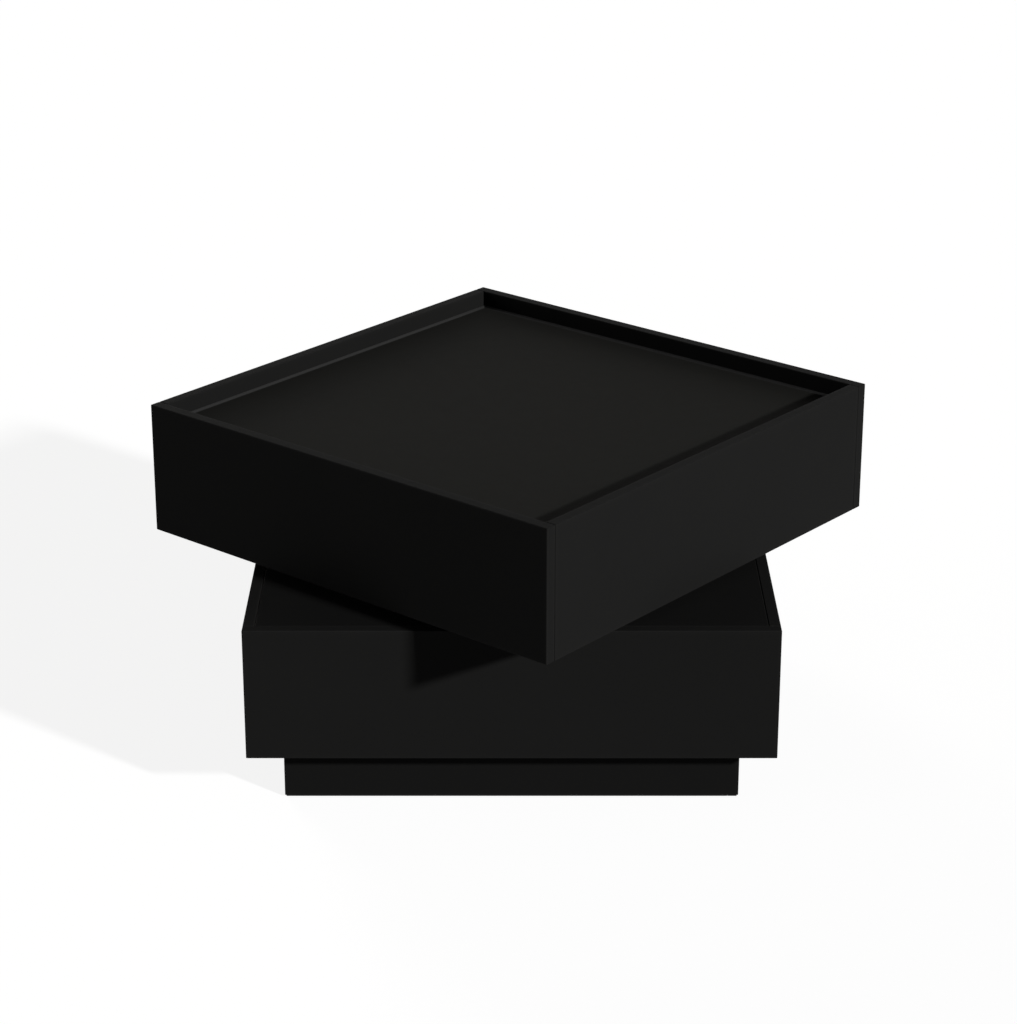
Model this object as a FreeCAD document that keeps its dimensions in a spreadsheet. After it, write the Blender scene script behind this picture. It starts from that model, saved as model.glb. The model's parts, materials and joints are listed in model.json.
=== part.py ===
import FreeCAD, Part
import os
from dataclasses import dataclass

import Sketcher
from FreeCAD import Vector

# A swivel coffee table: two square cases of faced board, one above the other. The lower case stands
# on a recessed plinth. The upper case holds a tray and turns on a ball bearing between the two.
# Lengths are in millimetres. The floor is z = 0, +Z is up and the Z axis is the swivel axis.
# The front faces -Y. The upper case is turned from the lower one, as it stands when in use.

SIZES = {
    # boards and cases
    "board": 16,
    "edge_ease": 1,
    "case_side": 700,
    "lower_case_height": 184,
    "upper_case_height": 184,
    "tray_depth": 26,
    "swivel_turn": -40,
    "batten": 20,
    "lap_play": 0.2,
    # plinth
    "plinth_inset": 46,
    "plinth_board_height": 78,
    "block_side": 30,
    "floor_pad_width": 12,
    "floor_pad_height": 2,
    "floor_pad_end_gap": 0.5,
    # clearances of every drilled hole, across and at its end
    "bore_play": 0.1,
    "bore_end_play": 0.5,
    # swivel bearing
    "plate_thickness": 6,
    "plate_spacing": 5,
    "plate_half_side": 150,
    "plate_corner_cut": 30,
    "plate_hole_margin": 24,
    "race_radius": 95,
    "race_slope": 20,
    "ball_diameter": 8,
    "ball_count": 6,
    "ball_play": 0.2,
    "cage_width": 18,
    "cage_play": 0.7,
    "cage_pocket_play": 0.25,
    "centre_bolt_diameter": 8,
    "centre_bolt_play": 0.08,
    "centre_hex_across": 13,
    "centre_lift_play": 0.2,
    "hub_recess_diameter": 20,
    "hub_web": 1.8,
    "hub_sink": 0.3,
    # fixings of the swivel bearing
    "plate_screw_diameter": 5,
    "plate_screw_hex_across": 8,
    "plate_screw_hex_height": 3.5,
    "plate_screw_bite": 12,
    "plate_bolt_diameter": 6,
    "plate_bolt_hex_across": 10,
    "plate_bolt_hex_height": 4,
    "plate_bolt_inset": 1,
}

doc = FreeCAD.newDocument("swivel_coffee_table")
sheet = doc.addObject("Spreadsheet::Sheet", "Sizes")
for row_number, (size_name, size_value) in enumerate(SIZES.items(), 1):
    sheet.set(f"A{row_number}", size_name)
    sheet.set(f"B{row_number}", str(size_value))
    sheet.setAlias(f"B{row_number}", size_name)
doc.recompute()

# distances out from the swivel axis
CASE_HALF = "(Sizes.case_side / 2)"
CASE_INSIDE = "(Sizes.case_side / 2 - Sizes.board)"
BATTEN_INSIDE = f"({CASE_INSIDE} - Sizes.batten)"
BETWEEN_BATTENS = f"({BATTEN_INSIDE} - Sizes.lap_play)"
PLINTH_HALF = "(Sizes.case_side / 2 - Sizes.plinth_inset)"
PLINTH_INSIDE = f"({PLINTH_HALF} - Sizes.board)"
BLOCK_INSIDE = f"({PLINTH_INSIDE} - Sizes.block_side)"
PAD_MIDDLE = f"({PLINTH_HALF} - Sizes.board / 2)"
PAD_OUTSIDE = f"({PAD_MIDDLE} + Sizes.floor_pad_width / 2)"
PAD_INSIDE = f"({PAD_MIDDLE} - Sizes.floor_pad_width / 2)"
PLATE_HOLE = "(Sizes.plate_half_side - Sizes.plate_hole_margin)"

# heights inside the bearing, above its base
BEARING_TOP = "(2 * Sizes.plate_thickness + Sizes.plate_spacing)"
BALL_HEIGHT = f"({BEARING_TOP} / 2)"
BALL_SEAT = "(Sizes.ball_diameter / 2 + Sizes.ball_play)"
RACE_FLOOR = f"({BALL_HEIGHT} - {BALL_SEAT} / cos(Sizes.race_slope))"
HUB_FLOOR = "(Sizes.plate_thickness - Sizes.hub_web)"

# height of the corner blocks above the base of the plinth
BLOCK_BASE = "(Sizes.plinth_board_height - Sizes.block_side)"

# heights above the floor
PLINTH_BASE = "Sizes.floor_pad_height"
LOWER_BASE = "(Sizes.floor_pad_height + Sizes.plinth_board_height)"
BEARING_BASE = f"({LOWER_BASE} + Sizes.lower_case_height)"
UPPER_BASE = f"({BEARING_BASE} + {BEARING_TOP})"


@dataclass
class Case:
    """One of the two cases; its panels' heights are above its own lower edge."""

    name: str
    base: str
    height: str
    top_drop: str
    turn: str

    @property
    def ceiling(self):
        """Underside of the top panel."""
        return f"({self.height} - {self.top_drop} - Sizes.board)"


LOWER_CASE = Case("lower", LOWER_BASE, "Sizes.lower_case_height", "0", "0")
UPPER_CASE = Case("upper", UPPER_BASE, "Sizes.upper_case_height", "Sizes.tray_depth", "Sizes.swivel_turn")

sub_parts = []


def value(expression):
    return float(sheet.evalExpression(expression))


def new_body(label, base, turn="0"):
    """A sub-part drawn about the swivel axis, raised to its base and turned about that axis."""
    body = doc.addObject("PartDesign::Body", label)
    body.Label = label
    body.setExpression("Placement.Base.z", base)
    body.setExpression("Placement.Rotation.Angle", turn)
    sub_parts.append(body)
    return body


def origin(body, role):
    return next(feature for feature in body.Origin.OriginFeatures if feature.Role == role)


def new_sketch(body, name, role, lift):
    """A sketch on an origin plane of its body, lifted along the plane's normal."""
    sketch = body.newObject("Sketcher::SketchObject", f"{body.Name}_{name}")
    sketch.AttachmentSupport = [(origin(body, role), "")]
    sketch.MapMode = "FlatFace"
    sketch.setExpression("AttachmentOffset.Base.z", lift)
    return sketch


def tie(sketch, kind, geometry, vertex, expression):
    """Holds a point at a distance from the sketch's origin, given by an expression."""
    constraint = Sketcher.Constraint(kind, -1, 1, geometry, vertex, value(expression))
    index = sketch.addConstraint(constraint)
    name = f"{kind}{index}"
    sketch.renameConstraint(index, name)
    sketch.setExpression(f"Constraints.{name}", expression)


def outline(sketch, points):
    """A closed outline of straight lines through points given as pairs of expressions."""
    corners = [Vector(value(across), value(up), 0) for across, up in points]
    first = sketch.GeometryCount
    for corner, following in zip(corners, corners[1:] + corners[:1]):
        sketch.addGeometry(Part.LineSegment(corner, following), False)
    for index, (across, up) in enumerate(points):
        line = first + index
        next_line = first + (index + 1) % len(points)
        sketch.addConstraint(Sketcher.Constraint("Coincident", line, 2, next_line, 1))
        tie(sketch, "DistanceX", line, 1, across)
        tie(sketch, "DistanceY", line, 1, up)


def rectangle(left, right, low, high):
    return [(left, low), (right, low), (right, high), (left, high)]


def circle(sketch, across, up, diameter):
    middle = Vector(value(across), value(up), 0)
    curve = sketch.addGeometry(Part.Circle(middle, Vector(0, 0, 1), value(diameter) / 2), False)
    tie(sketch, "DistanceX", curve, 3, across)
    tie(sketch, "DistanceY", curve, 3, up)
    size = sketch.addConstraint(Sketcher.Constraint("Diameter", curve, value(diameter)))
    sketch.renameConstraint(size, f"Diameter{size}")
    sketch.setExpression(f"Constraints.Diameter{size}", diameter)


def hexagon(sketch, across, up, flats):
    reach = f"({flats} / sqrt(3))"
    corners = []
    for turn in range(0, 360, 60):
        corners.append((f"({across} + {reach} * cos({turn}))", f"({up} + {reach} * sin({turn}))"))
    outline(sketch, corners)


def extrude(body, kind, name, sketch, length, back=False):
    """A Pad along the sketch's normal or a Pocket against it; back turns either round."""
    feature = body.newObject(f"PartDesign::{kind}", f"{body.Name}_{name}")
    feature.Profile = sketch
    feature.setExpression("Length", length)
    feature.Reversed = back
    return feature


def ease_edges(body, feature):
    """Takes the sharpness off every edge of a board."""
    easing = body.newObject("PartDesign::Chamfer", f"{body.Name}_eased")
    easing.Base = (feature, [""])
    easing.UseAllEdges = True
    easing.setExpression("Size", "Sizes.edge_ease")


def mirror(role):
    return ("PartDesign::Mirrored", "MirrorPlane", role, {})


def ring(count):
    return ("PartDesign::PolarPattern", "Axis", "Z_Axis", {"Occurrences": count, "Angle": "360"})


BOTH_MIRRORS = [mirror("YZ_Plane"), mirror("XZ_Plane")]


def repeat(body, name, originals, repeats):
    """Repeats features of a body by mirrors and rings, one after another."""
    whole = body.newObject("PartDesign::MultiTransform", f"{body.Name}_{name}")
    steps = []
    for index, (kind, property_name, role, settings) in enumerate(repeats):
        step = body.newObject(kind, f"{body.Name}_{name}_{index}")
        setattr(step, property_name, (origin(body, role), [""]))
        for setting, expression in settings.items():
            step.setExpression(setting, expression)
        steps.append(step)
    whole.Originals = originals
    whole.Transformations = steps
    body.Tip = whole


def bore(body, name, lift, spot, diameter, depth, repeats, back=False):
    """A round hole down from a level plane, or up from it, and the holes that repeat it."""
    sketch = new_sketch(body, f"{name}_spot", "XY_Plane", lift)
    circle(sketch, *spot, f"{diameter} + 2 * Sizes.bore_play")
    hole = extrude(body, "Pocket", name, sketch, depth, back)
    repeat(body, f"{name}_set", [hole], repeats)


# the origin plane that each wall lies along, and on which side of it
WALLS = {
    "front": ("XZ_Plane", 1),
    "back": ("XZ_Plane", -1),
    "left": ("YZ_Plane", -1),
    "right": ("YZ_Plane", 1),
}
FULL_WIDTH_WALLS = ("front", "back")


def four_walls(label_form, base, turn, outside, inside, height):
    """Four boards on edge round a square: the front and back run full width, the sides between them."""
    for wall, (role, side) in WALLS.items():
        half_length = outside if wall in FULL_WIDTH_WALLS else inside
        body = new_body(label_form.format(wall), base, turn)
        sketch = new_sketch(body, "face", role, f"{side} * {outside}")
        outline(sketch, rectangle(f"-{half_length}", half_length, "0", height))
        pad = extrude(body, "Pad", "board", sketch, "Sizes.board", back=side > 0)
        ease_edges(body, pad)


def level_panel(case, label, underside):
    """A square panel that fits between the four walls of a case."""
    body = new_body(label, case.base, case.turn)
    sketch = new_sketch(body, "face", "XY_Plane", underside)
    outline(sketch, rectangle(f"-{CASE_INSIDE}", CASE_INSIDE, f"-{CASE_INSIDE}", CASE_INSIDE))
    pad = extrude(body, "Pad", "board", sketch, "Sizes.board")
    ease_edges(body, pad)
    return body


def cross_ribs(case):
    """Two boards on edge, halved over each other, that carry the top panel at its middle."""
    floor = "Sizes.board"
    middle = f"(({case.ceiling} + Sizes.board) / 2)"
    half_slot = "(Sizes.board / 2 + Sizes.lap_play)"
    ribs = {
        "long": ("XZ_Plane", case.ceiling, floor, f"({middle} - Sizes.lap_play)"),
        "cross": ("YZ_Plane", floor, case.ceiling, f"({middle} + Sizes.lap_play)"),
    }
    for name, (role, slotted_edge, whole_edge, slot_end) in ribs.items():
        body = new_body(f"{case.name}_{name}_rib", case.base, case.turn)
        sketch = new_sketch(body, "face", role, "0")
        outline(sketch, [
            (f"-{BETWEEN_BATTENS}", whole_edge), (BETWEEN_BATTENS, whole_edge),
            (BETWEEN_BATTENS, slotted_edge), (half_slot, slotted_edge), (half_slot, slot_end),
            (f"-{half_slot}", slot_end), (f"-{half_slot}", slotted_edge),
            (f"-{BETWEEN_BATTENS}", slotted_edge),
        ])
        pad = extrude(body, "Pad", "board", sketch, "Sizes.board")
        pad.SideType = "Symmetric"


def corner_posts(case):
    """Square battens upright in the corners of a case, glued to both walls."""
    body = new_body(f"{case.name}_corner_posts", case.base, case.turn)
    sketch = new_sketch(body, "face", "XY_Plane", "Sizes.board")
    outline(sketch, rectangle(BATTEN_INSIDE, CASE_INSIDE, f"-{CASE_INSIDE}", f"-{BATTEN_INSIDE}"))
    post = extrude(body, "Pad", "post", sketch, f"{case.ceiling} - Sizes.board")
    repeat(body, "posts", [post], BOTH_MIRRORS)


def ledgers(case, label, underside):
    """Square battens along the four walls, between the posts, glued to a wall and to a panel."""
    body = new_body(label, case.base, case.turn)
    sketch = new_sketch(body, "face", "XY_Plane", underside)
    outline(sketch, rectangle(f"-{BETWEEN_BATTENS}", BETWEEN_BATTENS, f"-{CASE_INSIDE}", f"-{BATTEN_INSIDE}"))
    ledger = extrude(body, "Pad", "ledger", sketch, "Sizes.batten")
    repeat(body, "ledgers", [ledger], [ring("4")])


def build_case(case, top_name):
    """A whole case; returns its bottom and top panels, which the fixings pass into."""
    four_walls(f"{case.name}_{{}}_panel", case.base, case.turn, CASE_HALF, CASE_INSIDE, case.height)
    bottom = level_panel(case, f"{case.name}_bottom_panel", "0")
    top = level_panel(case, f"{top_name}_panel", case.ceiling)
    cross_ribs(case)
    corner_posts(case)
    ledgers(case, f"{top_name}_ledgers", f"{case.ceiling} - Sizes.batten")
    ledgers(case, f"{case.name}_bottom_ledgers", "Sizes.board")
    return bottom, top


def plinth_rail():
    """The rail across the middle of the plinth, from front to back."""
    body = new_body("plinth_centre_rail", PLINTH_BASE)
    sketch = new_sketch(body, "face", "YZ_Plane", "0")
    outline(sketch, rectangle(f"-{PLINTH_INSIDE}", PLINTH_INSIDE, "0", "Sizes.plinth_board_height"))
    pad = extrude(body, "Pad", "board", sketch, "Sizes.board")
    pad.SideType = "Symmetric"


def plinth_blocks():
    """Square blocks glued into the corners of the plinth and to the underside of the lower case."""
    body = new_body("plinth_corner_blocks", PLINTH_BASE)
    sketch = new_sketch(body, "face", "XY_Plane", BLOCK_BASE)
    outline(sketch, rectangle(BLOCK_INSIDE, PLINTH_INSIDE, f"-{PLINTH_INSIDE}", f"-{BLOCK_INSIDE}"))
    block = extrude(body, "Pad", "block", sketch, "Sizes.block_side")
    repeat(body, "blocks", [block], BOTH_MIRRORS)


def floor_pads():
    """Felt strips under the four boards of the plinth; the table stands on them."""
    body = new_body("floor_pads", PLINTH_BASE)
    sketch = new_sketch(body, "face", "XY_Plane", "0")
    outline(sketch, rectangle(f"-{PAD_OUTSIDE}", f"({PAD_INSIDE} - Sizes.floor_pad_end_gap)",
                              f"-{PAD_OUTSIDE}", f"-{PAD_INSIDE}"))
    strip = extrude(body, "Pad", "strip", sketch, "Sizes.floor_pad_height", back=True)
    repeat(body, "strips", [strip], [ring("4")])


def bearing_plate(label, turn, facing, hole_diameter, upside_down):
    """A square plate with a ball race and a recessed hub; facing gives each height its place."""
    body = new_body(label, BEARING_BASE, turn)
    side = "Sizes.plate_half_side"
    cut = f"({side} - Sizes.plate_corner_cut)"
    flat = new_sketch(body, "flat", "XY_Plane", facing("0"))
    outline(flat, [(f"-{cut}", f"-{side}"), (cut, f"-{side}"), (side, f"-{cut}"), (side, cut),
                   (cut, side), (f"-{cut}", side), (f"-{side}", cut), (f"-{side}", f"-{cut}")])
    circle(flat, "0", "0", "Sizes.centre_bolt_diameter + 2 * Sizes.centre_bolt_play")
    extrude(body, "Pad", "plate", flat, "Sizes.plate_thickness", back=upside_down)
    hub = new_sketch(body, "hub_spot", "XY_Plane", facing("0"))
    circle(hub, "0", "0", "Sizes.hub_recess_diameter")
    extrude(body, "Pocket", "hub", hub, HUB_FLOOR, back=not upside_down)
    cut_race(body, facing)
    bore(body, "fixing_hole", facing("0"), (PLATE_HOLE, f"-{PLATE_HOLE}"), hole_diameter,
         "Sizes.plate_thickness", [ring("4")], back=not upside_down)


def cut_race(body, facing):
    """The groove that the balls run in, which opens towards the other plate."""
    half_width = f"((Sizes.plate_thickness - {RACE_FLOOR}) / tan(Sizes.race_slope))"
    section = new_sketch(body, "race_section", "XZ_Plane", "0")
    outline(section, [
        (f"(Sizes.race_radius - {half_width})", facing("Sizes.plate_thickness")),
        ("Sizes.race_radius", facing(RACE_FLOOR)),
        (f"(Sizes.race_radius + {half_width})", facing("Sizes.plate_thickness")),
    ])
    race = body.newObject("PartDesign::Groove", f"{body.Name}_race")
    race.Profile = section
    race.ReferenceAxis = (section, ["V_Axis"])
    race.Angle = 360


def hex_bolt(body, spot, diameter, tip, across, seat, height):
    """A plain shank from its tip to its seat, and a hexagon head beyond the seat."""
    downward = value(height) < 0
    shank_sketch = new_sketch(body, "shank_spot", "XY_Plane", tip)
    circle(shank_sketch, *spot, diameter)
    shank = extrude(body, "Pad", "shank", shank_sketch, f"abs({seat} - ({tip}))", back=downward)
    head_sketch = new_sketch(body, "head_spot", "XY_Plane", seat)
    hexagon(head_sketch, *spot, across)
    head = extrude(body, "Pad", "head", head_sketch, f"abs({height})", back=downward)
    return [shank, head]


def centre_bolt():
    """The bolt that the upper plate turns on, and the nut that keeps that plate from lifting."""
    top = f"({BEARING_TOP} - Sizes.hub_sink)"
    bolt = new_body("bearing_centre_bolt", BEARING_BASE)
    hex_bolt(bolt, ("0", "0"), "Sizes.centre_bolt_diameter", top, "Sizes.centre_hex_across", HUB_FLOOR,
             f"(Sizes.hub_sink - {HUB_FLOOR})")
    nut = new_body("bearing_centre_nut", BEARING_BASE)
    seat = f"({BEARING_TOP} - {HUB_FLOOR} + Sizes.centre_lift_play)"
    sketch = new_sketch(nut, "face", "XY_Plane", seat)
    hexagon(sketch, "0", "0", "Sizes.centre_hex_across")
    circle(sketch, "0", "0", "Sizes.centre_bolt_diameter + 2 * Sizes.bore_play")
    extrude(nut, "Pad", "nut", sketch, f"{top} - {seat}")


def ball_cage():
    """The ring that spaces the balls, with one square pocket for each."""
    body = new_body("bearing_ball_cage", BEARING_BASE)
    thickness = "(Sizes.plate_spacing - 2 * Sizes.cage_play)"
    sketch = new_sketch(body, "face", "XY_Plane", "Sizes.plate_thickness + Sizes.cage_play")
    circle(sketch, "0", "0", "2 * Sizes.race_radius + Sizes.cage_width")
    circle(sketch, "0", "0", "2 * Sizes.race_radius - Sizes.cage_width")
    extrude(body, "Pad", "ring", sketch, thickness)
    reach = "(Sizes.ball_diameter / 2 + Sizes.cage_pocket_play)"
    window = new_sketch(body, "pocket_spot", "XY_Plane", "Sizes.plate_thickness + Sizes.cage_play")
    left, right = (f"(Sizes.race_radius {sign} {reach})" for sign in "-+")
    outline(window, rectangle(left, right, f"-{reach}", reach))
    pocket = extrude(body, "Pocket", "pocket", window, thickness, back=True)
    repeat(body, "pockets", [pocket], [ring("Sizes.ball_count")])


def balls():
    """The balls of the bearing, which carry the upper case."""
    body = new_body("bearing_balls", BEARING_BASE)
    ball = body.newObject("PartDesign::AdditiveSphere", "ball")
    ball.setExpression("Radius", "Sizes.ball_diameter / 2")
    ball.setExpression("Placement.Base.x", "Sizes.race_radius")
    ball.setExpression("Placement.Base.z", BALL_HEIGHT)
    repeat(body, "balls", [ball], [ring("Sizes.ball_count")])


def plate_fixings(label, turn, tip, seat, size):
    """Four screws or bolts at the corners of a plate, with their heads up."""
    body = new_body(label, BEARING_BASE, turn)
    spot = (PLATE_HOLE, f"-{PLATE_HOLE}")
    fixing = hex_bolt(body, spot, f"{size}_diameter", tip, f"{size}_hex_across", seat, f"{size}_hex_height")
    repeat(body, "set", fixing, [ring("4")])


def check_and_write():
    """Stops on a failed feature, a hole that cut nothing or a bad solid, and then writes the parts."""
    doc.recompute()
    failed = [item.Name for item in doc.Objects if {"Invalid", "Error"} & set(item.State)]
    for item in doc.Objects:
        cuts = item.TypeId in ("PartDesign::Pocket", "PartDesign::Groove")
        if cuts and item.Shape.Volume >= item.BaseFeature.Shape.Volume:
            failed.append(item.Name)
    for part in sub_parts:
        if part.Shape.isNull() or not part.Shape.isValid() or not part.Shape.Solids:
            failed.append(part.Label)
    if failed:
        raise RuntimeError(f"these did not build: {failed}")
    os.makedirs("parts", exist_ok=True)
    for part in sub_parts:
        part.Shape.exportStep(f"parts/{part.Label}.step")
        print(part.Label, len(part.Shape.Solids), round(part.Shape.Volume))


four_walls("plinth_{}_board", PLINTH_BASE, "0", PLINTH_HALF, PLINTH_INSIDE, "Sizes.plinth_board_height")
plinth_rail()
plinth_blocks()
floor_pads()

_, lower_top = build_case(LOWER_CASE, "lower_top")
bore(lower_top, "plate_screw_bore", LOWER_CASE.height, (PLATE_HOLE, f"-{PLATE_HOLE}"),
     "Sizes.plate_screw_diameter", "Sizes.plate_screw_bite + Sizes.bore_end_play", [ring("4")])

bearing_plate("bearing_lower_plate", "0", lambda height: height, "Sizes.plate_screw_diameter", False)
plate_fixings("bearing_plate_screws", "0", "-Sizes.plate_screw_bite", "Sizes.plate_thickness",
              "Sizes.plate_screw")
centre_bolt()
ball_cage()
balls()
bearing_plate("bearing_upper_plate", "Sizes.swivel_turn", lambda height: f"({BEARING_TOP} - {height})",
              "Sizes.plate_bolt_diameter", True)
plate_fixings("bearing_plate_bolts", "Sizes.swivel_turn",
              f"{BEARING_TOP} - Sizes.plate_thickness + Sizes.plate_bolt_inset",
              f"({BEARING_TOP} + Sizes.board)", "Sizes.plate_bolt")

upper_bottom, _ = build_case(UPPER_CASE, "tray")
bore(upper_bottom, "plate_bolt_bore", "Sizes.board", (PLATE_HOLE, f"-{PLATE_HOLE}"),
     "Sizes.plate_bolt_diameter", "Sizes.board", [ring("4")])
check_and_write()
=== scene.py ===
"""Looks of the swivel coffee table: two cases of faced black board, the upper one turned over the lower."""
import json
import math

import bmesh
import bpy
from mathutils import Matrix, Vector


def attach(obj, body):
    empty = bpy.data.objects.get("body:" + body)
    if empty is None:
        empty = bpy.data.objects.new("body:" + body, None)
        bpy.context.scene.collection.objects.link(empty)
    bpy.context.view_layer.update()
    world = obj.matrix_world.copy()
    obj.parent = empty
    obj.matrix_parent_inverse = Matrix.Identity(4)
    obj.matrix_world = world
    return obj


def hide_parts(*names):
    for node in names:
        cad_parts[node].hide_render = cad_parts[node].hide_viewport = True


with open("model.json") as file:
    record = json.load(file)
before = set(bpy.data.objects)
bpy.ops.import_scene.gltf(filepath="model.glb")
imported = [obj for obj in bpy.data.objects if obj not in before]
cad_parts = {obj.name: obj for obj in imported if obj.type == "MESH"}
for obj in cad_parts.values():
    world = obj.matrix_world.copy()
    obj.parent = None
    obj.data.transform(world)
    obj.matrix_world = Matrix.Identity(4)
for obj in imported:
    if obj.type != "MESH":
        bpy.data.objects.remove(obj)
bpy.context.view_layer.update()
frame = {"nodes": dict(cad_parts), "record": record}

MM = 0.001
WHITE = (1.0, 1.0, 1.0)

# the camera, from the corners of both cases in the photograph
IMAGE_LONG_SIDE = 1024
FOCAL_PIXELS = 2919.1
CAMERA_PLACE = Vector((-4.2, -3799.0, 1810.2)) * MM
CAMERA_PITCH = math.radians(21.813)
SENSOR_WIDTH = 36

# the lamps: the direction to each, its share of the light at which a colour renders as it is written,
# its spread in degrees and its colour
LAMPS = {
    "key": (Vector((0.71, -0.58, 0.405)), 1.03, 3.5, WHITE),
    "back": (Vector((-0.45, 0.88, 0.17)), 0.45, 20, (1.0, 0.96, 0.88)),
    "fill": (Vector((-0.90, -0.15, 0.06)), 0.21, 40, WHITE),
}

# the light of the sky straight overhead
ZENITH_LIGHT = 0.05

# the floor: how much light it throws back, and its colour and glow as the camera sees them
FLOOR_HALF_SIDE = 9.0
FLOOR_DROP = 0.2 * MM
FLOOR_BOUNCE = 0.56
FLOOR_COLOUR = 0.25
FLOOR_GLOW = 0.865

# faced boards: rounded arrises, a hairline seam beside the edge band, and wear along the edges
ARRIS_RADIUS = 1.2 * MM
ARRIS_STEPS = 4
CORNER_STEPS = 3
LEAST_CORNER = 0.15 * MM
SEAM_INSET = 1.9 * MM
SEAM_HALF_WIDTH = 0.12 * MM
SEAM_DEPTH = 0.12 * MM
WEAR_REACH = 7.0 * MM
BAND_WEAR_REACH = 3.0 * MM
SEAM_INNER_WEAR = 0.3
SEAM_OUTER_WEAR = 0.4
ARRIS_LEAST_WEAR = 0.6
FACE_WEIGHT = 100

# joint lines at both ends of the side boards: open along the edges and closed further in
JOINT_GAP = 0.5 * MM
JOINT_DEPTH = 3.0 * MM
JOINT_SINK = 0.1 * MM

# panels with bores, which stay as CAD nodes and get rounded edges
BORED_PANELS = ("lower_top_panel", "upper_bottom_panel")
WELD_REACH = 0.01 * MM
BORED_EDGE_WIDTH = 0.35 * MM
BORED_EDGE_STEPS = 2
BORED_EDGE_ANGLE = math.radians(25)

# the bead that seals the tray to its rim
BEAD_WIDTH = 2.5 * MM
BEAD_HEIGHT = 3.2 * MM
BEAD_STEPS = 6
BEAD_SINK = 0.7 * MM

# black boards: the dark, the pale and the speckled tone, and what wear does to them
BOARD_TONES = ((0.0112, 0.0112, 0.0110), (0.0128, 0.0127, 0.0124), (0.0165, 0.0164, 0.0160))
WORN_TONE = (0.030, 0.0295, 0.029)
WEAR_FADING = 0.18
WEAR_POLISH = 0.12

# the tint and the shine of the board's own black finish, and of its copies that carry painted shade and
# painted light
BOARD_FINISHES_AND_PAINTED_LIGHT = {
    "black_board": ((1.0, 1.0, 1.0), 0.004),
    # painted shade: the lower top panel made darker where it lies under the upper case
    "black_top_painted_shade": ((0.75, 0.75, 0.75), 0.004),
    # painted shade: the plinth made darker where it lies under the overhang of the lower case
    "black_plinth": ((0.80, 0.80, 0.80), 0.004),
    # painted light: the tray made paler and warmer, as if lit more strongly and by warmer light, with a lower
    # shine
    "black_tray_painted_light": ((1.36, 1.35, 1.28), 0.0025),
}

# bare metals: the dark and the pale tone, the range of roughness, and how fine the cutter's marks are
METALS = {
    "bearing_aluminium": ((0.52, 0.53, 0.54), (0.70, 0.71, 0.72), (0.30, 0.42), 900),
    "fixing_steel": ((0.42, 0.42, 0.41), (0.64, 0.64, 0.62), (0.26, 0.44), 1400),
    "ball_steel": ((0.70, 0.70, 0.71), (0.80, 0.80, 0.81), (0.06, 0.12), 600),
}

# wood: how closely the growth rings lie across and along a batten, and how many show
RINGS_ACROSS = 9.0
RINGS_ALONG = 0.5
RING_COUNT = 5.0

# where the middle values of a noise lie, and where nearly all of them do
NOISE_MIDDLE = (0.3, 0.7)
NOISE_WHOLE = (0.2, 0.8)


class Nodes:
    """Adds nodes to a tree; most makers return the output socket that they end in."""

    # places of both inputs and of the output on a mix node, by what it mixes
    MIX_SOCKETS = {"RGBA": (6, 7, 2), "FLOAT": (2, 3, 0)}

    def __init__(self, tree):
        self.tree = tree

    def add(self, kind, **settings):
        node = self.tree.nodes.new(kind)
        for setting, chosen in settings.items():
            setattr(node, setting, chosen)
        return node

    def feed(self, socket, source):
        """Links a socket, or sets it where the source is a plain number or colour."""
        if isinstance(source, bpy.types.NodeSocket):
            self.tree.links.new(source, socket)
        else:
            socket.default_value = source

    def math(self, operation, first, second=0.0):
        node = self.add("ShaderNodeMath", operation=operation)
        self.feed(node.inputs[0], first)
        self.feed(node.inputs[1], second)
        return node.outputs[0]

    def parts(self, vector):
        """The X, Y and Z of a vector."""
        node = self.add("ShaderNodeSeparateXYZ")
        self.feed(node.inputs[0], vector)
        return node.outputs

    def spread(self, source, over, to):
        """Numbers moved from one range to another, and held to it."""
        node = self.add("ShaderNodeMapRange")
        self.feed(node.inputs["Value"], source)
        for socket, number in zip(("From Min", "From Max", "To Min", "To Max"), (*over, *to)):
            node.inputs[socket].default_value = number
        return node.outputs[0]

    def mix(self, share, first, second, kind="RGBA"):
        """A mix of two colours, each a triple or an output socket, or of two numbers."""
        node = self.add("ShaderNodeMix", data_type=kind)
        *places, result = self.MIX_SOCKETS[kind]
        self.feed(node.inputs["Factor"], share)
        for place, source in zip(places, (first, second)):
            self.feed(node.inputs[place], (*source, 1.0) if isinstance(source, tuple) else source)
        return node.outputs[result]


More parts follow.
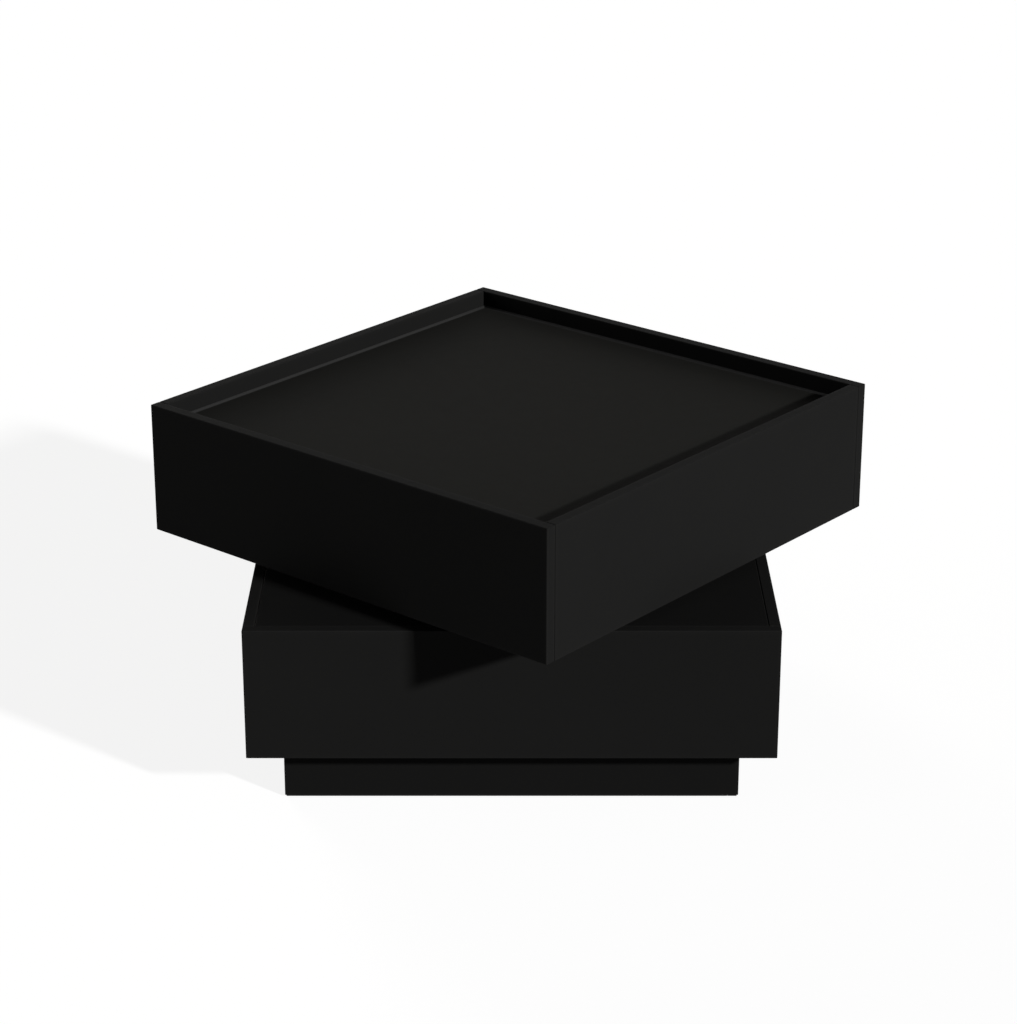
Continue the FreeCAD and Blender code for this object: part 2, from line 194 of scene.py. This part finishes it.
class Shader(Nodes):
    """The nodes of one material, round a single surface shader."""

    def __init__(self, name):
        self.material = bpy.data.materials.new(name)
        self.material.use_nodes = True
        super().__init__(self.material.node_tree)
        self.surface = self.tree.nodes["Principled BSDF"]
        self.place = self.add("ShaderNodeTexCoord").outputs["Object"]

    def set(self, **sockets):
        """Feeds the sockets of the surface; an underscore in a name stands for a space."""
        for name, source in sockets.items():
            self.feed(self.surface.inputs[name.replace("_", " ")], source)

    def turned(self, turn):
        """The place on the piece, turned about Z."""
        node = self.add("ShaderNodeMapping")
        self.feed(node.inputs["Vector"], self.place)
        node.inputs["Rotation"].default_value = (0, 0, turn)
        return node.outputs[0]

    def stretch(self, vector, scale):
        """A vector scaled along each axis."""
        node = self.add("ShaderNodeMapping")
        self.feed(node.inputs["Vector"], vector)
        node.inputs["Scale"].default_value = scale
        return node.outputs[0]

    def noise(self, scale, detail, rough=0.55, vector=None, distortion=0.0):
        node = self.add("ShaderNodeTexNoise")
        self.feed(node.inputs["Vector"], vector or self.place)
        numbers = {"Scale": scale, "Detail": detail, "Roughness": rough, "Distortion": distortion}
        for socket, number in numbers.items():
            node.inputs[socket].default_value = number
        return node.outputs["Fac"]

    def bump(self, height, strength, distance, below=None):
        node = self.add("ShaderNodeBump")
        node.inputs["Strength"].default_value = strength
        node.inputs["Distance"].default_value = distance
        self.feed(node.inputs["Height"], height)
        if below is not None:
            self.feed(node.inputs["Normal"], below)
        return node.outputs[0]

    def attribute(self, name):
        return self.add("ShaderNodeAttribute", attribute_name=name).outputs["Fac"]


def tinted(colour, tint):
    """A colour with each channel made darker or paler by a share."""
    return tuple(share * channel for share, channel in zip(tint, colour))


def black_board(name, tint, shine):
    """Matte black melamine: fine pores, faint clouding, and paler worn arrises."""
    shader = Shader(name)
    # the tint darkens these tones as painted shade for the lower top panel and the plinth, and pales and
    # warms them as painted light for the tray
    dark, pale, speckled = (tinted(tone, tint) for tone in BOARD_TONES)
    clouds = shader.noise(scale=7, detail=4)
    grain = shader.noise(scale=950, detail=2)
    scuffs = shader.noise(scale=60, detail=6, rough=0.65)
    waves = shader.noise(scale=25, detail=2)
    specks = shader.spread(grain, over=(0.45, 0.75), to=(0.0, 0.25))
    scuffed = shader.spread(scuffs, over=(0.40, 0.66), to=(0.55, 1.0))
    worn = shader.math("MULTIPLY", shader.attribute("wear"), scuffed)
    tone = shader.mix(clouds, dark, pale)
    tone = shader.mix(specks, tone, speckled)
    tone = shader.mix(shader.math("MULTIPLY", worn, WEAR_FADING), tone, WORN_TONE)
    roughness = shader.math("ADD", shader.spread(clouds, over=NOISE_MIDDLE, to=(0.465, 0.49)),
                            shader.spread(scuffs, over=NOISE_MIDDLE, to=(-0.03, 0.03)))
    roughness = shader.math("SUBTRACT", roughness, shader.math("MULTIPLY", worn, WEAR_POLISH))
    pores = shader.bump(grain, strength=0.12, distance=0.06 * MM)
    waviness = shader.bump(waves, strength=0.02, distance=0.3 * MM, below=pores)
    shader.set(Base_Color=tone, Roughness=roughness, Normal=waviness, Specular_IOR_Level=shine)
    return shader.material


def seal():
    """Black sealant: smoother and a little paler than the boards, with a faintly uneven surface."""
    shader = Shader("seal")
    ripples = shader.noise(scale=180, detail=2)
    dust = shader.noise(scale=1200, detail=2)
    tone = shader.mix(dust, (0.0190, 0.0190, 0.0188), (0.0250, 0.0248, 0.0244))
    shader.set(Base_Color=tone, Roughness=shader.spread(ripples, over=NOISE_MIDDLE, to=(0.36, 0.46)),
               Normal=shader.bump(ripples, strength=0.15, distance=0.2 * MM), Specular_IOR_Level=0.05)
    return shader.material


def raw_board():
    """Particle board: pressed chips in several browns."""
    shader = Shader("raw_board")
    chips = shader.add("ShaderNodeTexVoronoi")
    shader.feed(chips.inputs["Vector"], shader.stretch(shader.place, (1.0, 0.45, 1.0)))
    chips.inputs["Scale"].default_value = 240
    chances = shader.add("ShaderNodeSeparateColor")
    shader.feed(chances.inputs[0], chips.outputs["Color"])
    brownness, thickness = chances.outputs[:2]
    fines = shader.noise(scale=700, detail=4)
    tone = shader.mix(brownness, (0.30, 0.19, 0.10), (0.62, 0.47, 0.30))
    tone = shader.mix(shader.spread(fines, over=(0.35, 0.7), to=(0.0, 0.7)), tone, (0.47, 0.34, 0.21))
    height = shader.math("ADD", thickness, fines)
    shader.set(Base_Color=tone, Roughness=shader.spread(fines, over=NOISE_WHOLE, to=(0.75, 0.95)),
               Normal=shader.bump(height, strength=0.35, distance=0.3 * MM), Specular_IOR_Level=0.25)
    return shader.material


def growth_rings(shader, vector, scale):
    """Noise drawn out along one axis, which the rings of a batten follow."""
    return shader.noise(scale=14, detail=3, distortion=1.2, vector=shader.stretch(vector, scale))


def batten_wood(name, upright, turn):
    """Planed softwood, its growth rings drawn out along each batten of an upright or a level set."""
    shader = Shader(name)
    if upright:
        rings = growth_rings(shader, shader.place, (RINGS_ACROSS, RINGS_ACROSS, RINGS_ALONG))
    else:
        squared = shader.turned(-turn)
        reach_x, reach_y = (shader.math("ABSOLUTE", part) for part in shader.parts(squared)[:2])
        along_x = growth_rings(shader, squared, (RINGS_ALONG, RINGS_ACROSS, RINGS_ACROSS))
        along_y = growth_rings(shader, squared, (RINGS_ACROSS, RINGS_ALONG, RINGS_ACROSS))
        rings = shader.mix(shader.math("GREATER_THAN", reach_x, reach_y), along_x, along_y, "FLOAT")
    bands = shader.math("FRACT", shader.math("MULTIPLY", rings, RING_COUNT))
    fibres = shader.noise(scale=900, detail=3)
    patches = shader.noise(scale=6, detail=2)
    tone = shader.mix(bands, (0.70, 0.52, 0.32), (0.50, 0.31, 0.15))
    tone = shader.mix(shader.spread(patches, over=NOISE_MIDDLE, to=(0.0, 0.4)), tone, (0.74, 0.58, 0.38))
    height = shader.math("ADD", bands, fibres)
    shader.set(Base_Color=tone, Roughness=shader.spread(fibres, over=NOISE_WHOLE, to=(0.5, 0.7)),
               Normal=shader.bump(height, strength=0.15, distance=0.1 * MM), Specular_IOR_Level=0.35)
    return shader.material


def felt():
    """Pressed felt: matted dark fibres."""
    shader = Shader("felt")
    fibres = shader.noise(scale=1600, detail=5, rough=0.7)
    clumps = shader.noise(scale=220, detail=3)
    tone = shader.mix(fibres, (0.020, 0.020, 0.021), (0.085, 0.083, 0.080))
    tone = shader.mix(shader.spread(clumps, over=NOISE_MIDDLE, to=(0.0, 0.5)), tone, (0.045, 0.044, 0.043))
    height = shader.math("ADD", fibres, clumps)
    shader.set(Base_Color=tone, Roughness=shader.spread(fibres, over=NOISE_WHOLE, to=(0.88, 1.0)),
               Normal=shader.bump(height, strength=0.6, distance=0.4 * MM),
               Specular_IOR_Level=0.1, Sheen_Weight=0.3)
    return shader.material


def turned_metal(name, dark, pale, roughness, mark_scale):
    """Bare metal with fine marks of a cutter that ran round the swivel axis."""
    shader = Shader(name)
    squares = [shader.math("MULTIPLY", part, part) for part in shader.parts(shader.place)[:2]]
    marks = shader.add("ShaderNodeTexNoise", noise_dimensions="1D")
    shader.feed(marks.inputs["W"], shader.math("SQRT", shader.math("ADD", *squares)))
    marks.inputs["Scale"].default_value = mark_scale
    marks.inputs["Detail"].default_value = 4
    stains = shader.noise(scale=45, detail=5)
    stained = shader.spread(stains, over=NOISE_MIDDLE, to=roughness)
    marked = shader.spread(marks.outputs["Fac"], over=NOISE_MIDDLE, to=(-0.06, 0.06))
    shader.set(Base_Color=shader.mix(stains, dark, pale), Metallic=1.0,
               Roughness=shader.math("ADD", stained, marked),
               Normal=shader.bump(marks.outputs["Fac"], strength=0.2, distance=0.05 * MM))
    return shader.material


def cage_plastic():
    """Natural nylon, a little cloudy, with a fine moulded skin."""
    shader = Shader("cage_plastic")
    clouds = shader.noise(scale=60, detail=3)
    skin = shader.noise(scale=1400, detail=2)
    tone = shader.mix(clouds, (0.72, 0.70, 0.63), (0.83, 0.81, 0.75))
    shader.set(Base_Color=tone, Roughness=shader.spread(clouds, over=NOISE_MIDDLE, to=(0.38, 0.52)),
               Normal=shader.bump(skin, strength=0.1, distance=0.05 * MM), Specular_IOR_Level=0.45)
    return shader.material


MATERIALS = {
    **{name: black_board(name, *finish) for name, finish in BOARD_FINISHES_AND_PAINTED_LIGHT.items()},
    **{name: turned_metal(name, *metal) for name, metal in METALS.items()},
    "seal": seal(),
    "raw_board": raw_board(),
    "felt": felt(),
    "cage_plastic": cage_plastic(),
}
NODE_SLOTS = {part["node"]: part["material_slot"] for part in frame["record"]["subparts"]}
NODE_BODIES = {node: body for body, nodes in frame["record"]["behaviour"]["bodies"].items() for node in nodes}


def case_turn():
    """How far the upper case is turned about the swivel axis, from the outer face of its front panel."""
    faces = frame["nodes"]["upper_front_panel"].data.polygons
    largest = max(faces, key=lambda face: face.area)
    outward = largest.normal if largest.normal.y < 0 else -largest.normal
    return math.atan2(outward.x, -outward.y)


UPPER_TURN = case_turn()


def node_turn(node):
    """How far a node is turned about the swivel axis."""
    return UPPER_TURN if NODE_BODIES[node] == "top" else 0.0


def local_box(node):
    """A node's lowest and highest corner before it was turned about the swivel axis."""
    unturn = Matrix.Rotation(-node_turn(node), 3, "Z")
    corners = [unturn @ vertex.co for vertex in frame["nodes"][node].data.vertices]
    low = Vector(min(corner[axis] for corner in corners) for axis in range(3))
    high = Vector(max(corner[axis] for corner in corners) for axis in range(3))
    return low, high


def board_finish_or_painted_light(node):
    """Which black material a board has: the plain finish, a copy darkened as painted shade, or a copy paled
    as painted light.
    """
    if node.startswith("plinth_"):
        return "black_plinth"
    return {"lower_top_panel": "black_top_painted_shade", "tray_panel": "black_tray_painted_light"}.get(node, "black_board")


def node_material(node):
    """The material of a CAD node that stays: its slot's own, or one made to its shape."""
    if NODE_SLOTS[node] == "black_board":
        return MATERIALS[board_finish_or_painted_light(node)]
    if NODE_SLOTS[node] == "batten_wood":
        upright = node.endswith(("_posts", "_blocks"))
        return batten_wood(f"{node}_wood", upright, node_turn(node))
    return MATERIALS[NODE_SLOTS[node]]


def add_piece(name, work, finish, body):
    """Turns a finished bmesh into a piece that rides on a body."""
    bmesh.ops.recalc_face_normals(work, faces=work.faces)
    for face in work.faces:
        face.smooth = True
    mesh = bpy.data.meshes.new(name)
    work.to_mesh(mesh)
    work.free()
    mesh.materials.append(MATERIALS[finish])
    piece = bpy.data.objects.new(name, mesh)
    bpy.context.scene.collection.objects.link(piece)
    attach(piece, body)
    return piece


def join_loops(work, loop, following):
    """Faces between two loops of as many corners."""
    for index in range(len(loop)):
        after = (index + 1) % len(loop)
        work.faces.new((loop[index], following[index], following[after], loop[after]))


def rounded_rectangle(half_width, half_height, radius):
    """Points round a rectangle with rounded corners, from the right-hand side on, anticlockwise."""
    points = []
    for corner, (side, end) in enumerate(((1, 1), (-1, 1), (-1, -1), (1, -1))):
        for step in range(CORNER_STEPS + 1):
            angle = (corner + step / CORNER_STEPS) * math.pi / 2
            points.append((side * (half_width - radius) + radius * math.cos(angle),
                           end * (half_height - radius) + radius * math.sin(angle)))
    return points


def board_profile(half_thickness):
    """Inset, height and wear of each loop, from the middle of one face over the edge to the other face."""
    face = [(WEAR_REACH, 0.0, 0.0), (SEAM_INSET + SEAM_HALF_WIDTH, 0.0, SEAM_INNER_WEAR),
            (SEAM_INSET, SEAM_DEPTH, 0.0), (SEAM_INSET - SEAM_HALF_WIDTH, 0.0, SEAM_OUTER_WEAR)]
    for step in range(ARRIS_STEPS + 1):
        angle = step / ARRIS_STEPS * math.pi / 2
        wear = ARRIS_LEAST_WEAR + (1 - ARRIS_LEAST_WEAR) * math.sin(2 * angle)
        face.append((ARRIS_RADIUS * (1 - math.sin(angle)), ARRIS_RADIUS * (1 - math.cos(angle)), wear))
    face.append((0.0, ARRIS_RADIUS + BAND_WEAR_REACH, 0.0))
    top = [(inset, half_thickness - depth, wear) for inset, depth, wear in face]
    bottom = [(inset, depth - half_thickness, wear) for inset, depth, wear in reversed(face)]
    return top + bottom


def close_joint(work, middle, half, end, twist):
    """Fills the gap at one end of a board, but for the edges, where it is left open as a dark line."""
    size = Vector((2 * (half.x - JOINT_DEPTH), JOINT_GAP + JOINT_SINK, 2 * (half.z - JOINT_DEPTH)))
    centre = middle + Vector((0, end * (half.y + (JOINT_GAP - JOINT_SINK) / 2), 0))
    place = Matrix.Translation(twist @ centre) @ twist.to_4x4() @ Matrix.Diagonal((*size, 1))
    bmesh.ops.create_cube(work, size=1, matrix=place)


def faced_board(node):
    """A board with rounded arrises and edge bands, in the place of its CAD node."""
    low, high = local_box(node)
    middle, half = (low + high) / 2, (high - low) / 2
    twist = Matrix.Rotation(node_turn(node), 3, "Z")
    work = bmesh.new()
    wear_layer = work.verts.layers.float.new("wear")
    if "_left_" in node or "_right_" in node:
        half -= Vector((JOINT_GAP / 2, JOINT_GAP, 0))
        middle.x += math.copysign(JOINT_GAP / 2, middle.x)
        for end in (-1, 1):
            close_joint(work, middle, half, end, twist)
    thin = min(range(3), key=lambda axis: half[axis])
    wide, tall = (thin + 1) % 3, (thin + 2) % 3
    loops = []
    for inset, height, wear in board_profile(half[thin]):
        corner = max(ARRIS_RADIUS - inset, LEAST_CORNER)
        loop = []
        for across, up in rounded_rectangle(half[wide] - inset, half[tall] - inset, corner):
            spot = Vector((0, 0, 0))
            spot[thin], spot[wide], spot[tall] = height, across, up
            vertex = work.verts.new(twist @ (middle + spot))
            vertex[wear_layer] = wear
            loop.append(vertex)
        loops.append(loop)
    work.faces.new(loops[0])
    work.faces.new(reversed(loops[-1]))
    for loop, following in zip(loops, loops[1:]):
        join_loops(work, loop, following)
    piece = add_piece(f"{node}_faced", work, board_finish_or_painted_light(node), NODE_BODIES[node])
    piece.modifiers.new("even_normals", "WEIGHTED_NORMAL").weight = FACE_WEIGHT
    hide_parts(node)


def tray_bead():
    """The hollow bead of sealant in the corner between the tray and its rim, mitred at the corners."""
    low, high = local_box("tray_panel")
    reach, level = (high.x - low.x) / 2, high.z
    section = [(-BEAD_SINK, -BEAD_SINK), (BEAD_WIDTH, -BEAD_SINK)]
    for step in range(BEAD_STEPS + 1):
        angle = step / BEAD_STEPS * math.pi / 2
        section.append((BEAD_WIDTH * (1 - math.sin(angle)), BEAD_HEIGHT * (1 - math.cos(angle))))
    section.append((-BEAD_SINK, BEAD_HEIGHT))
    twist = Matrix.Rotation(node_turn("tray_panel"), 3, "Z")
    work = bmesh.new()
    loops = []
    for inward, up in section:
        side = reach - inward
        corners = ((side, side), (-side, side), (-side, -side), (side, -side))
        loops.append([work.verts.new(twist @ Vector((x, y, level + up))) for x, y in corners])
    for loop, following in zip(loops, loops[1:] + loops[:1]):
        join_loops(work, loop, following)
        for mitre in zip(loop, following):
            work.edges.get(mitre).smooth = False
    add_piece("tray_seal", work, "seal", "top")


def soften(item):
    """Joins the faces of a CAD node's mesh and rounds its edges, by modifiers alone."""
    item.modifiers.new("join", "WELD").merge_threshold = WELD_REACH
    rounding = item.modifiers.new("round", "BEVEL")
    rounding.width = BORED_EDGE_WIDTH
    rounding.segments = BORED_EDGE_STEPS
    rounding.limit_method = "ANGLE"
    rounding.angle_limit = BORED_EDGE_ANGLE
    rounding.harden_normals = True


for node, item in frame["nodes"].items():
    if NODE_SLOTS[node] == "black_board" and node not in BORED_PANELS:
        faced_board(node)
        continue
    item.data.materials.clear()
    item.data.materials.append(node_material(node))
    if node in BORED_PANELS:
        soften(item)
tray_bead()


def white_to_the_eye(nodes):
    """One for rays from the camera, in mirrors and through glass, and nought for the others."""
    path = nodes.add("ShaderNodeLightPath")
    total = path.outputs["Is Camera Ray"]
    for ray in ("Is Glossy Ray", "Is Transmission Ray"):
        total = nodes.math("MAXIMUM", total, path.outputs[ray])
    return total


def make_floor():
    """A plain white floor that keeps the shadow of the table."""
    half, level = FLOOR_HALF_SIDE, -FLOOR_DROP
    corners = [(-half, -half, level), (half, -half, level), (half, half, level), (-half, half, level)]
    mesh = bpy.data.meshes.new("floor")
    mesh.from_pydata(corners, [], [(0, 1, 2, 3)])
    floor = bpy.data.objects.new("floor", mesh)
    bpy.context.scene.collection.objects.link(floor)
    material = bpy.data.materials.new("floor_white")
    material.use_nodes = True
    material.cycles.emission_sampling = "NONE"
    mesh.materials.append(material)
    nodes = Nodes(material.node_tree)
    nodes.tree.nodes.remove(nodes.tree.nodes["Principled BSDF"])
    matte, bounced = (nodes.add("ShaderNodeBsdfDiffuse") for _ in range(2))
    for diffuse, grey in ((matte, FLOOR_COLOUR), (bounced, FLOOR_BOUNCE)):
        diffuse.inputs["Color"].default_value = (grey, grey, grey, 1)
    glow = nodes.add("ShaderNodeEmission")
    glow.inputs["Strength"].default_value = FLOOR_GLOW
    seen = nodes.add("ShaderNodeAddShader")
    nodes.feed(seen.inputs[0], matte.outputs[0])
    nodes.feed(seen.inputs[1], glow.outputs[0])
    choice = nodes.add("ShaderNodeMixShader")
    nodes.feed(choice.inputs[0], white_to_the_eye(nodes))
    nodes.feed(choice.inputs[1], bounced.outputs[0])
    nodes.feed(choice.inputs[2], seen.outputs[0])
    nodes.feed(nodes.tree.nodes["Material Output"].inputs["Surface"], choice.outputs[0])


def make_world():
    """A sky that is brighter overhead for the light, and looks white."""
    world = bpy.data.worlds.new("sky")
    world.use_nodes = True
    bpy.context.scene.world = world
    nodes = Nodes(world.node_tree)
    direction = nodes.parts(nodes.add("ShaderNodeTexCoord").outputs["Generated"])
    light = nodes.spread(direction["Z"], over=(0.0, 1.0), to=(0.0, ZENITH_LIGHT))
    sky = nodes.mix(white_to_the_eye(nodes), light, WHITE)
    nodes.feed(nodes.tree.nodes["Background"].inputs["Color"], sky)


def make_lamps():
    """A key lamp from the right and in front, a low one from behind, and a faint fill from the left."""
    for name, (direction, share, spread, colour) in LAMPS.items():
        data = bpy.data.lights.new(name, "SUN")
        data.energy = share * math.pi
        data.color = colour
        data.angle = math.radians(spread)
        lamp = bpy.data.objects.new(name, data)
        lamp.rotation_mode = "QUATERNION"
        lamp.rotation_quaternion = direction.to_track_quat("Z", "Y")
        bpy.context.scene.collection.objects.link(lamp)


def make_camera():
    """A plain camera, without shift, where the photograph was taken from."""
    data = bpy.data.cameras.new("camera")
    data.sensor_width = SENSOR_WIDTH
    data.lens = FOCAL_PIXELS * SENSOR_WIDTH / IMAGE_LONG_SIDE
    camera = bpy.data.objects.new("camera", data)
    camera.location = CAMERA_PLACE
    camera.rotation_euler = (math.pi / 2 - CAMERA_PITCH, 0, 0)
    bpy.context.scene.collection.objects.link(camera)
    bpy.context.scene.camera = camera


make_floor()
make_world()
make_lamps()
make_camera()
bpy.context.scene.view_settings.view_transform = "Standard"
